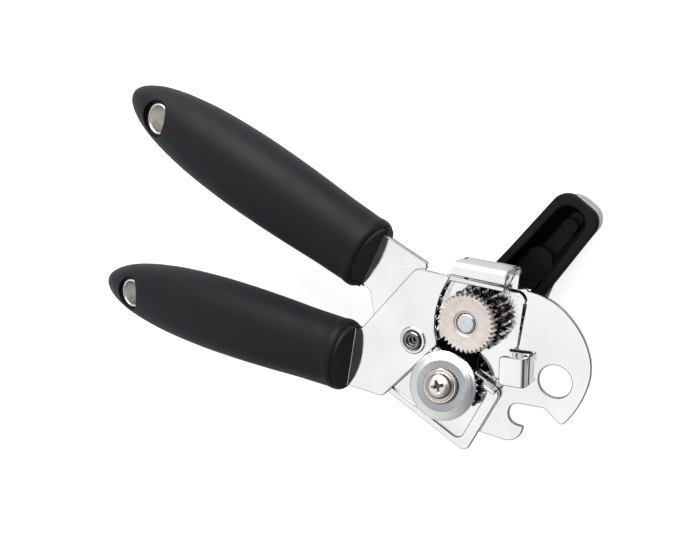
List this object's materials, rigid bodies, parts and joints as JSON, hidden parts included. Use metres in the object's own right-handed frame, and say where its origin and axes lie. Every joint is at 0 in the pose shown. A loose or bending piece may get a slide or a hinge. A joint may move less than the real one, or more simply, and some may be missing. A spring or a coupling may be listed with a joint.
{
  "type": "manual can opener",
  "caption": "Hand-held can opener: two pivoting arms with oval grips, a geared feed wheel on a butterfly knob, a tilted cutting wheel and a hooked head.",
  "frame": {"origin": "where the feed axis meets the flat outer face of the knob", "axes": "+X along the lower handle towards the head, +Z along the feed axis from the knob to the feed wheel"},
  "size_m": [0.2135, 0.1072, 0.0369],
  "materials": {
    "polished_steel": "polished",
    "blade_steel": "turned bevel",
    "nickel": "satin nickel",
    "gear_steel": "dark oiled",
    "grip_black": "soft matt",
    "plastic_black": "satin",
    "cover_silver": "brushed silver"
  },
  "bodies": {
    "lower_arm": {"head_plate": "polished_steel", "lower_grip": "grip_black", "lower_grip_plug": "plastic_black", "lower_eyelet": "nickel", "pivot_rivet": "nickel", "pivot_washer": "nickel", "spindle_bush": "nickel"},
    "upper_arm": {"cutter_plate": "polished_steel", "upper_grip": "grip_black", "upper_grip_plug": "plastic_black", "upper_eyelet": "nickel", "cutter_seat": "polished_steel", "cutter_bush": "nickel", "cutter_washer": "nickel", "cutter_screw": "nickel", "cutter_nut": "nickel"},
    "drive": {"spindle": "nickel", "feed_wheel": "nickel", "drive_gear": "gear_steel", "knob_washer": "polished_steel", "knob_body": "plastic_black", "knob_cover": "cover_silver"},
    "cutter": {"cutter_wheel": "blade_steel", "cutter_gear": "gear_steel"}
  },
  "joints": [
    {"name": "handle_pivot", "type": "hinge", "parent": "lower_arm", "child": "upper_arm", "pos_m": [-0.0196, -0.0112, 0.026], "axis": [0, 0, 1], "range_deg": [-15, 12]},
    {"name": "knob_spin", "type": "hinge", "parent": "lower_arm", "child": "drive", "pos_m": [0, 0, 0], "axis": [0, 0, 1], "continuous": true},
    {"name": "cutter_spin", "type": "hinge", "parent": "upper_arm", "child": "cutter", "pos_m": [-0.00565, -0.02188, 0.0301], "axis": [0.1015, 0.2563, 0.9613], "continuous": true}
  ],
  "couplings": [
    {"joint": "cutter_spin", "follows": "knob_spin", "ratio": -1}
  ]
}
